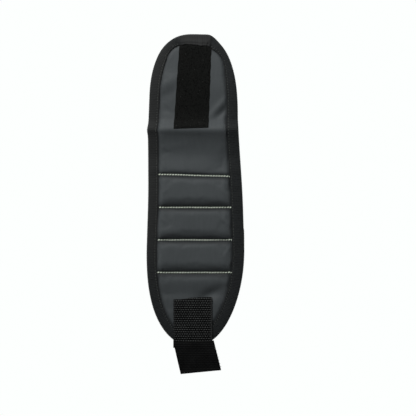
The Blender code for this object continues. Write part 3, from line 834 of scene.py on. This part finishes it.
def makeTape():
    rows = len(edgeLine)
    columns = len(tapeSection(tape["arm"]))
    bm = bmesh.new()
    bmesh.ops.create_grid(bm, x_segments=columns - 1, y_segments=rows - 1, size=1)
    mesh = meshFrom(bm, "tape")
    spots = readPoints(mesh)
    column = np.rint((spots[:, 0] + 1) / 2 * (columns - 1)).astype(int)
    row = np.rint((spots[:, 1] + 1) / 2 * (rows - 1)).astype(int)
    edgeX, edgeAlong = edgeLine[row].T
    inward = edgeInward[row]
    travel = edgeTravel[row]
    sections = np.array([tapeSection(arm) for arm in edgeArm])
    depth, level, bulge = sections[row, column].T
    upper = np.where(column >= columns / 2, 1, 0)
    reach = between(depth, 0, edgeArm[row])
    curved = np.clip(1.4 - np.abs(inward[:, 0]) * 1.2, 0.15, 1)
    rib = np.abs(np.sin(travel / tape["rib"] * math.pi))
    depth = depth - rib * tape["ribDepth"] * bulge
    pucker = puckers(travel) * curved * mm
    atCorner = hump(edgeX, -26 * mm, 14 * mm) * hump(edgeAlong, 8 * mm, 16 * mm)
    depth = depth + pucker * (0.35 + 0.8 * atCorner) * reach
    pull = pucker * (0.28 + 0.4 * atCorner) * np.sin(reach * math.pi / 2)
    level = level + (0.2 + 0.8 * upper) * pull + upper * rib * 0.05 * mm
    # over the loop patch's end
    overPatch = soft(edgeX, -18 * mm, -14 * mm) * (1 - soft(edgeX, 14 * mm, 18 * mm))
    overPatch = overPatch * (edgeAlong < 25 * mm) * soft(reach, 0.35, 0.75)
    level = level + upper * tape["patchLift"] * overPatch
    depth = depth + 0.5 * mm * overPatch
    # the raised end of the tape, from the join down
    fresh = freshEnd(travel)
    level = level + upper * tape["overlap"] * fresh * (0.35 + 0.65 * reach)
    depth = depth - 0.35 * mm * fresh * bulge + 0.5 * mm * fresh * reach
    # the mitre at the flap's right corner: the tape is folded over itself there
    mitreAt = edgeTravel[np.argmin(np.linalg.norm(edgeLine - (15.5 * mm, 1.5 * mm), axis=1))]
    past = travel - reach * 8 * mm - mitreAt
    under = np.exp(-np.clip(past, 0, None) / (7 * mm)) * soft(past, 0, 0.5 * mm)
    folded = np.exp(-np.clip(-past, 0, None) / (9 * mm)) * (1 - soft(past, 0, 0.5 * mm))
    level = level + upper * tape["mitre"] * (folded - 0.9 * under)
    x = edgeX + inward[:, 0] * depth
    along = edgeAlong + inward[:, 1] * depth
    writePoints(mesh, np.stack([x, rootY - along, level], 1))
    setMap(mesh, travel, depth * (2 * upper - 1))
    setValues(mesh, "along", along)
    beforeMitre = 1 - soft(past, -0.5 * mm, 0.5 * mm) * (along < 40 * mm)
    # painted light: the tape's top by the flap's tip and its left side are coloured lighter where the light
    # falls on them
    topPaintedLight = 0.75 * soft(edgeX, -24 * mm, -8 * mm) * beforeMitre * (edgeAlong < 14 * mm) * (edgeX < 20 * mm)
    leftPaintedLight = 0.5 * soft(-edgeX, 20 * mm, 34 * mm) * (1 - soft(along, 185 * mm, 270 * mm))
    setValues(mesh, "mixWeight", np.clip(np.maximum(topPaintedLight, leftPaintedLight), 0, 1))
    lieDown(mesh)
    bm = bmesh.new()
    bm.from_mesh(mesh)
    bmesh.ops.reverse_faces(bm, faces=bm.faces)
    bm.to_mesh(mesh)
    bm.free()
    return newObject("binding", mesh)


tapePieces = splitSheet(
    "binding", makeTape(), tape["thickness"], materials["bindingTape"],
    nodesFor("binding", ("_left", "_right")),
)
print("binding done")


def coverLevel(across, along):  # top of the cover's cloth, on the flat band
    _, inner = fromEdge(across, along)
    return coverHeight(across, along, inner) + cover["thickness"] / 2


def gridSheet(name, width, length, cell):  # a flat grid, with each point's share across and down
    bm = bmesh.new()
    bmesh.ops.create_grid(bm, x_segments=int(width / cell), y_segments=int(length / cell), size=1)
    mesh = meshFrom(bm, name)
    spots = readPoints(mesh)
    return mesh, (spots[:, 0] + 1) / 2, (1 - spots[:, 1]) / 2


def thicken(piece, thickness, offset=0.0, bevel=0.0):
    wall = piece.modifiers.new("thickness", "SOLIDIFY")
    wall.thickness = thickness
    wall.offset = offset
    if bevel:
        edge = piece.modifiers.new("edge", "BEVEL")
        edge.width = bevel
        edge.segments = 2
        edge.angle_limit = math.radians(50)
    settled(piece)
    piece.data.shade_smooth()
    return piece


loopPatch = {
    "top": 8.2 * mm, "bottom": 95.4 * mm, "width": 33.2 * mm,
    "middle": -2.1 * mm, "lean": 0.052, "thickness": 1.0 * mm, "cell": 1.1 * mm,
    "loopSpacing": 1.15 * mm, "loopSize": 0.42 * mm, "hem": 1.4 * mm,
}


def patchPoint(shareAcross, shareDown):
    look = loopPatch
    along = look["top"] + (look["bottom"] - look["top"]) * shareDown
    centre = look["middle"] - look["lean"] * (along - (look["top"] + look["bottom"]) / 2)
    width = look["width"] + 1.4 * mm * soft(shareDown, 0.45, 1) - 1.3 * mm * (1 - soft(shareDown, 0.05, 0.5))
    across = centre + (shareAcross - 0.5) * width
    along = along + 0.9 * mm * (shareAcross - 0.5) * (1 - 2 * shareDown)
    outermost = np.sign(shareAcross - 0.5) * (np.abs(shareAcross - 0.5) > 0.45)
    return across + 0.16 * mm * np.sin(along / (2.3 * mm)) * outermost, along


def patchLevel(across, along, shareAcross, shareDown):
    look = loopPatch
    _, inner = fromEdge(across, along)
    under = np.minimum(coverLevel(across, along), 9 * mm)
    nearest = np.minimum(shareAcross, 1 - shareAcross) * look["width"]
    ends = (1 - shareDown) * (look["bottom"] - look["top"])
    free = soft(np.minimum(nearest, ends), 0.2 * mm, look["hem"] * 2)
    raised = 0.45 * mm * free * soft(inner, -2 * mm, 3 * mm)
    tucked = 0.35 * mm * (1 - soft(inner, -2 * mm, 0.5 * mm))
    return under + look["thickness"] * 0.5 + 0.05 * mm + raised - tucked


def makePatch():
    look = loopPatch
    length = look["bottom"] - look["top"]
    mesh, shareAcross, shareDown = gridSheet("loop_patch", look["width"], length, look["cell"])
    across, along = patchPoint(shareAcross, shareDown)
    level = patchLevel(across, along, shareAcross, shareDown)
    writePoints(mesh, np.stack([across, rootY - along, level], 1))
    setMap(mesh, across, along)
    lieDown(mesh)
    return thicken(newObject("loop_patch", mesh, materials["loopPile"]), look["thickness"], bevel=0.25 * mm)


def addCopies(name, shape, places, material):
    # many copies of one small shape, each put in place on the flat band, then laid at rest
    bm = bmesh.new()
    for place in places:
        copy = shape.copy()
        copy.transform(place)
        bm.from_mesh(copy)
        bpy.data.meshes.remove(copy)
    mesh = meshFrom(bm, name)
    lieDown(mesh)
    mesh.shade_smooth()
    return newObject(name, mesh, material)


def mapped(shape):  # gives a small shape the cloth map that its material reads
    points = readPoints(shape)
    setMap(shape, points[:, 0], points[:, 1])
    return shape


def loopShape():  # one loop of the pile: half a ring of yarn
    look = loopPatch
    bm = bmesh.new()
    ring = bmesh.ops.create_circle(bm, segments=4, radius=look["loopSize"] * 0.28)["verts"]
    bmesh.ops.rotate(bm, verts=ring, matrix=Matrix.Rotation(math.radians(90), 3, "X"))
    bmesh.ops.translate(bm, verts=ring, vec=(look["loopSize"], 0, 0))
    bmesh.ops.spin(
        bm, geom=bm.verts[:] + bm.edges[:], cent=(0, 0, 0), axis=(0, -1, 0), angle=math.radians(200), steps=5,
    )
    bmesh.ops.holes_fill(bm, edges=bm.edges, sides=0)
    bmesh.ops.recalc_face_normals(bm, faces=bm.faces)
    return mapped(meshFrom(bm, "loop"))


def makeLoops():
    look = loopPatch
    rng = random.Random(5)
    rows = int((look["bottom"] - look["top"] - 2 * mm) / look["loopSpacing"])
    columns = int((look["width"] - 1.6 * mm) / look["loopSpacing"])
    shareDown, shareAcross = [], []
    for row in range(rows):
        for column in range(columns):
            shareDown.append((row + 1 + rng.uniform(-0.45, 0.45)) / (rows + 1))
            shareAcross.append((column + 1 + rng.uniform(-0.45, 0.45)) / (columns + 1))
    shareDown, shareAcross = np.array(shareDown), np.array(shareAcross)
    across, along = patchPoint(shareAcross, shareDown)
    level = patchLevel(across, along, shareAcross, shareDown) + look["thickness"] * 0.5 - 0.1 * mm
    _, inner = fromEdge(across, along)
    shape = loopShape()
    places = []
    for x, a, z, room in zip(across, along, level, inner):
        if room > 0.5 * mm:
            turn = Matrix.Rotation(rng.uniform(0, math.pi), 4, "Z")
            lean = Matrix.Rotation(rng.uniform(-0.7, 0.7), 4, "X")
            size = Matrix.Scale(rng.uniform(0.7, 1.25), 4)
            places.append(Matrix.Translation((x, rootY - a, z)) @ turn @ lean @ size)
    return addCopies("loop_pile", shape, places, materials["loopPile"])


patch = makePatch()
addBlend(patch, "flap_bend")
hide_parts("loop_patch_flap_tip", "loop_patch_flap_base")
loops = makeLoops()
addBlend(loops, "flap_bend")
print("loop patch done:", len(loops.data.polygons), "faces of pile")

webbing = {
    "top": 263.7 * mm, "bottom": 314 * mm, "left": -21.8 * mm, "right": 16.6 * mm,
    "thickness": 1.4 * mm, "level": 5.35 * mm, "cell": 0.8 * mm,
    "cutSlant": 3.0 * mm, "ragged": 0.22 * mm,      # its cut upper end
}


def makeWebbing():
    look = webbing
    width, length = look["right"] - look["left"], look["bottom"] - look["top"]
    mesh, shareAcross, shareDown = gridSheet("webbing", width, length, look["cell"])
    rng = random.Random(3)
    ragged = look["ragged"] * np.array([rng.uniform(-1, 1) for _ in range(len(shareDown))])
    across = look["left"] + width * shareAcross - 0.5 * mm * soft(shareDown, 0.5, 1) * (0.5 - shareAcross)
    cutEnd = (hump(shareAcross, 0, 0.4) * look["cutSlant"] + ragged) * (1 - soft(shareDown, 0, 0.06))
    along = look["top"] + length * shareDown + cutEnd
    level = look["level"] - 0.5 * mm * (1 - soft(shareDown, 0, 0.05))
    level += 0.12 * mm * np.sin(across / (5 * mm) + 1.3)
    nearest = np.minimum(shareAcross, 1 - shareAcross) * width
    level += 0.22 * mm * hump(nearest, 0.6 * mm, 0.9 * mm)  # the firm woven edges
    level += 0.4 * mm * hump(along, 300 * mm, 8 * mm)
    writePoints(mesh, np.stack([across, rootY - along, level], 1))
    setMap(mesh, across, along)
    # lighter along the woven edges, most on the right
    setValues(mesh, "mixWeight", hump(nearest, 0.4 * mm, 0.8 * mm) * (0.35 + 0.65 * (shareAcross > 0.5)))
    return thicken(newObject("webbing", mesh, materials["webbing"]), look["thickness"], bevel=0.3 * mm)


strap = makeWebbing()
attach(strap, "strap_end")
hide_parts("webbing_strap")

hookTab = {
    "length": 31.2 * mm, "width": 40.4 * mm, "thickness": 1.0 * mm, "start": 6.6 * mm,
    "lean": 0.235, "slant": 0.1, "cell": 1.0 * mm, "over": 6.75 * mm, "hem": 3.2 * mm,
    "hookSpacing": 1.7 * mm, "hookHeight": 0.9 * mm,
}
tabHinge = hinges["tab_bend"]


def tabPoint(shareAcross, shareDown):
    look = hookTab
    down = look["length"] * shareDown
    sideways = (shareAcross - 0.5) * look["width"]
    across = (webbing["left"] + webbing["right"]) / 2 + 0.7 * mm + look["lean"] * down + sideways
    start = tabHinge.y + look["start"]
    y = start - down + (look["slant"] * soft(shareDown, 0, 1) + 0.045 * (1 - shareDown)) * sideways
    return across, y


def tabLevel(y):  # over the strap's end, then down to the table
    look = hookTab
    fall = look["over"] - 1.75 * mm
    share = between(tabHinge.y + 2 * mm - y, 0, 26 * mm)
    return look["over"] - fall * (share ** 1.25) - 0.15 * mm * np.sin(share * 9)


def makeTab():
    look = hookTab
    mesh, shareAcross, shareDown = gridSheet("hook_tab", look["width"], look["length"], look["cell"])
    across, y = tabPoint(shareAcross, shareDown)
    fromEnd = (1 - shareDown) * look["length"]
    hem = 0.45 * mm * soft(look["hem"] - fromEnd, 0, 0.6 * mm)
    curl = 0.5 * mm * hump(shareAcross, 1, 0.1) * soft(shareDown, 0.5, 1)
    writePoints(mesh, np.stack([across, y, tabLevel(y) + hem + curl], 1))
    setMap(mesh, across, y)
    return thicken(newObject("hook_tab", mesh, materials["hookTape"]), look["thickness"], bevel=0.25 * mm)


def hookShape():  # one moulded hook on the tab's underside
    bm = bmesh.new()
    foot = bmesh.ops.create_circle(bm, segments=5, radius=0.16 * mm)["verts"]
    bmesh.ops.translate(bm, verts=foot, vec=(0.35 * mm, 0, 0))
    made = bmesh.ops.extrude_edge_only(bm, edges=bm.edges[:])
    stem = [v for v in made["geom"] if isinstance(v, bmesh.types.BMVert)]
    bmesh.ops.translate(bm, verts=stem, vec=(0, 0, -hookTab["hookHeight"] * 0.6))
    ring = [e for e in made["geom"] if isinstance(e, bmesh.types.BMEdge)]
    bmesh.ops.spin(
        bm, geom=stem + ring, cent=(0, 0, -hookTab["hookHeight"] * 0.6), axis=(0, 1, 0),
        angle=math.radians(150), steps=3,
    )
    bmesh.ops.holes_fill(bm, edges=bm.edges, sides=0)
    bmesh.ops.recalc_face_normals(bm, faces=bm.faces)
    return mapped(meshFrom(bm, "hook"))


def makeHooks():
    look = hookTab
    rng = random.Random(8)
    rows = int(23 * mm / look["hookSpacing"])
    columns = int((look["width"] - 3 * mm) / look["hookSpacing"])
    shareDown, shareAcross = [], []
    for row in range(rows):
        for column in range(columns):
            shareDown.append(1 - (row + 1) * look["hookSpacing"] / look["length"])
            shareAcross.append((column + 0.8 + 0.4 * (row % 2)) / columns)
    across, y = tabPoint(np.array(shareAcross), np.array(shareDown))
    level = tabLevel(y) - look["thickness"] / 2 + 0.08 * mm
    shape = hookShape()
    places = []
    for spot in zip(across, y, level):
        turn = rng.choice((0, math.pi)) + rng.uniform(-0.2, 0.2)
        places.append(Matrix.Translation(spot) @ Matrix.Rotation(turn, 4, "Z"))
    return addCopies("tape_hooks", shape, places, materials["hookTape"])


def blendTab(piece):
    above, below = Vector((0, 4 * mm, 0)), Vector((0, 5 * mm, 0))
    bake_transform(piece, "strap_end", "tab", start=tabHinge + above, end=tabHinge - below)


tab = makeTab()
hooks = makeHooks()
blendTab(tab)
blendTab(hooks)
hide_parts("hook_tape")
print("strap and tab done")

stitch = {"pitch": 2.7 * mm, "length": 2.5 * mm, "radius": 0.8 * mm, "tilt": 26, "wobble": 0.08 * mm}


def stitchShape(length, radius, segments=7, rings=5):
    bm = bmesh.new()
    bmesh.ops.create_uvsphere(bm, u_segments=segments, v_segments=rings, radius=1)
    bmesh.ops.rotate(bm, verts=bm.verts, matrix=Matrix.Rotation(math.radians(90), 3, "Y"))
    bmesh.ops.scale(bm, verts=bm.verts, vec=(length / 2, radius, radius))
    return mapped(meshFrom(bm, "stitch"))


def makeSeam(number):
    look = stitch
    rng = random.Random(20 + number)
    along = seams[number - 1]
    middle = float(centreLine(np.array(along)))
    reach = float(halfWidth(np.array(along))) - tape["arm"] + 1 * mm
    count = int(2 * reach / look["pitch"])
    xs = np.array([middle + (index - (count - 1) / 2) * look["pitch"] for index in range(count)])
    alongs = np.full(count, along)
    slide = seamSlide(xs, alongs)
    level = cover["level"] + cover["thickness"] / 2 - cover["pinch"] + 0.95 * mm
    shape = stitchShape(look["length"], look["radius"])
    places = []
    wave = rng.uniform(0, 6)
    for x, here in zip(xs, alongs + slide):
        here += look["wobble"] * math.sin(x / (6 * mm) + wave) + rng.uniform(-0.08, 0.08) * mm
        turn = math.radians(look["tilt"] + rng.uniform(-5, 5))
        spot = Matrix.Translation((x, rootY - here, level + rng.uniform(-0.06, 0.06) * mm))
        places.append(spot @ Matrix.Rotation(turn, 4, "Z") @ Matrix.Rotation(rng.uniform(-0.1, 0.1), 4, "Y"))
    piece = addCopies(f"seam_stitches_{number}", shape, places, materials["seamThread"])
    addBlend(piece, f"seam_{number}_bend")
    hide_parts(f"seam_thread_{number}")


for number in range(1, 5):
    makeSeam(number)

edgeStitch = {"pitch": 2.9 * mm, "length": 1.9 * mm, "radius": 0.2 * mm, "in": 1.5 * mm}


def makeEdgeStitches():  # the small stitches that hold the tape, seen on its front
    look = edgeStitch
    shape = stitchShape(look["length"], look["radius"], 6, 4)
    spots = np.arange(0, edgeLength, look["pitch"])
    rows = np.minimum((spots / edgeLength * (len(edgeLine) - 1)).astype(int), len(edgeLine) - 1)
    groups = {bend: [] for bend in bendNames}
    rng = random.Random(31)
    for row, travel in zip(rows, spots):
        depth = edgeArm[row] - look["in"]
        x = edgeLine[row, 0] + edgeInward[row, 0] * depth
        along = edgeLine[row, 1] + edgeInward[row, 1] * depth
        level = tape["top"] + tape["thickness"] / 2 - 0.05 * mm + tape["overlap"] * float(freshEnd(travel))
        turn = math.atan2(edgeInward[row, 0], edgeInward[row, 1]) + rng.uniform(-0.1, 0.1)
        number = next(index for index in range(len(bendNames)) if along < cuts[index + 1])
        spot = Matrix.Translation((x, rootY - along, level))
        groups[bendNames[number]].append(spot @ Matrix.Rotation(-turn + math.pi, 4, "Z"))
    for number, bend in enumerate(bendNames, 1):
        piece = addCopies(f"edge_stitches_{number}", shape, groups[bend], materials["edgeThread"])
        addBlend(piece, bend)


makeEdgeStitches()
print("stitching done")

foamPad = {"corner": 3 * mm, "round": 0.9 * mm}


def roundOff(bm, edges, offset, segments):
    bmesh.ops.bevel(
        bm, geom=edges, offset=offset, offset_type="OFFSET", segments=segments, profile=0.5, affect="EDGES",
        material=-1,
    )


def makeFoam(number):
    low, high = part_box(f"foam_pad_{number}")
    bm = bmesh.new()
    bmesh.ops.create_cube(bm, size=1)
    bmesh.ops.scale(bm, verts=bm.verts, vec=high - low)
    upright = [e for e in bm.edges if abs((e.verts[0].co - e.verts[1].co).normalized().z) > 0.9]
    roundOff(bm, upright, foamPad["corner"], 4)
    level = [e for e in bm.edges if abs(e.verts[0].co.z - e.verts[1].co.z) < 0.01 * mm]
    roundOff(bm, level, foamPad["round"], 3)
    for face in bm.faces:
        face.smooth = True
    bmesh.ops.translate(bm, verts=bm.verts, vec=(low + high) / 2)
    piece = newObject(f"foam_{number}", mapped(meshFrom(bm, f"foam_{number}")), materials["padFoam"])
    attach(piece, f"pocket_{number}")
    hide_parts(f"foam_pad_{number}")


def nickelMaterial():
    material, tree, shader = newMaterial("nickelPlate")
    place = addNode(tree, "ShaderNodeTexCoord")
    worn = addNode(tree, "ShaderNodeGroup", node_tree=age)
    worn.inputs["Blotch"].default_value = 220.0
    tree.links.new(place.outputs["Object"], worn.inputs["Vector"])
    tone = addNode(tree, "ShaderNodeValToRGB")
    tone.color_ramp.elements[0].color = (0.46, 0.46, 0.47, 1)
    tone.color_ramp.elements[1].color = (0.72, 0.72, 0.73, 1)
    tree.links.new(worn.outputs["Blotches"], tone.inputs["Fac"])
    tree.links.new(tone.outputs["Color"], shader.inputs["Base Color"])
    rough = sums(tree, "MULTIPLY_ADD", worn.outputs["Blotches"], 0.25, 0.15)
    tree.links.new(rough, shader.inputs["Roughness"])
    bump = addNode(tree, "ShaderNodeBump", Strength=0.3, Distance=0.02 * mm)
    tree.links.new(worn.outputs["Fuzz"], bump.inputs["Height"])
    tree.links.new(bump.outputs[0], shader.inputs["Normal"])
    shader.inputs["Metallic"].default_value = 1.0
    return material


nickel = nickelMaterial()
for number in range(1, 4):
    makeFoam(number)
    for place in range(1, 6):
        magnet = frame["nodes"][f"magnet_{number}_{place}"]
        for spot in magnet.material_slots:
            spot.material = nickel
print("pockets filled")

studio = {
    "camera": (12.5 * mm, -4.5 * mm), "height": 1.25, "seen": 0.416,
    "key": 13.0, "keySize": 0.5, "keyFrom": (-0.33, 1.0, 0.90),
    "fill": 0.13, "floorGlow": 0.9,
}


def makeFloor():
    bm = bmesh.new()
    bmesh.ops.create_grid(bm, x_segments=1, y_segments=1, size=3)
    bmesh.ops.translate(bm, verts=bm.verts, vec=(0, 0, -0.4 * mm))
    material, tree, shader = newMaterial("paleFloor")
    shader.inputs["Base Color"].default_value = (0.85, 0.86, 0.86, 1)
    shader.inputs["Roughness"].default_value = 0.9
    shader.inputs["Emission Color"].default_value = (1, 1, 1, 1)
    shader.inputs["Emission Strength"].default_value = studio["floorGlow"]
    path = addNode(tree, "ShaderNodeLightPath")  # what bends below the table is still seen, and lit
    through = sums(tree, "ADD", path.outputs["Is Camera Ray"], path.outputs["Is Shadow Ray"])
    tree.links.new(sums(tree, "SUBTRACT", 1.0, through), shader.inputs["Alpha"])
    newObject("floor", meshFrom(bm, "floor"), material)


def makeLights():
    world = bpy.data.worlds.new("studio")
    bpy.context.scene.world = world
    world.use_nodes = True
    tree = world.node_tree
    backdrop = tree.nodes["Background"]
    backdrop.inputs["Color"].default_value = (0.98, 1.0, 0.99, 1)
    seen = addNode(tree, "ShaderNodeLightPath")  # a plain white room behind the band
    strength = sums(tree, "MULTIPLY_ADD", seen.outputs["Is Camera Ray"], 1 - studio["fill"], studio["fill"])
    tree.links.new(strength, backdrop.inputs["Strength"])
    lamp = bpy.data.lights.new("window", "AREA")
    lamp.energy = studio["key"]
    lamp.size = studio["keySize"]
    lamp.color = (1.0, 0.99, 0.97)
    light = bpy.data.objects.new("window", lamp)
    bpy.context.scene.collection.objects.link(light)
    light.location = studio["keyFrom"]
    light.rotation_euler = (-Vector(studio["keyFrom"])).to_track_quat("-Z", "Y").to_euler()


def makeCamera():
    camera = bpy.data.cameras.new("camera")
    camera.sensor_width = 36
    camera.lens = 36 * studio["height"] / studio["seen"]
    camera.clip_start, camera.clip_end = 0.05, 10
    view = bpy.data.objects.new("camera", camera)
    bpy.context.scene.collection.objects.link(view)
    view.location = (*studio["camera"], studio["height"])
    bpy.context.scene.camera = view


makeFloor()
makeLights()
makeCamera()
bpy.context.scene.view_settings.view_transform = "Standard"
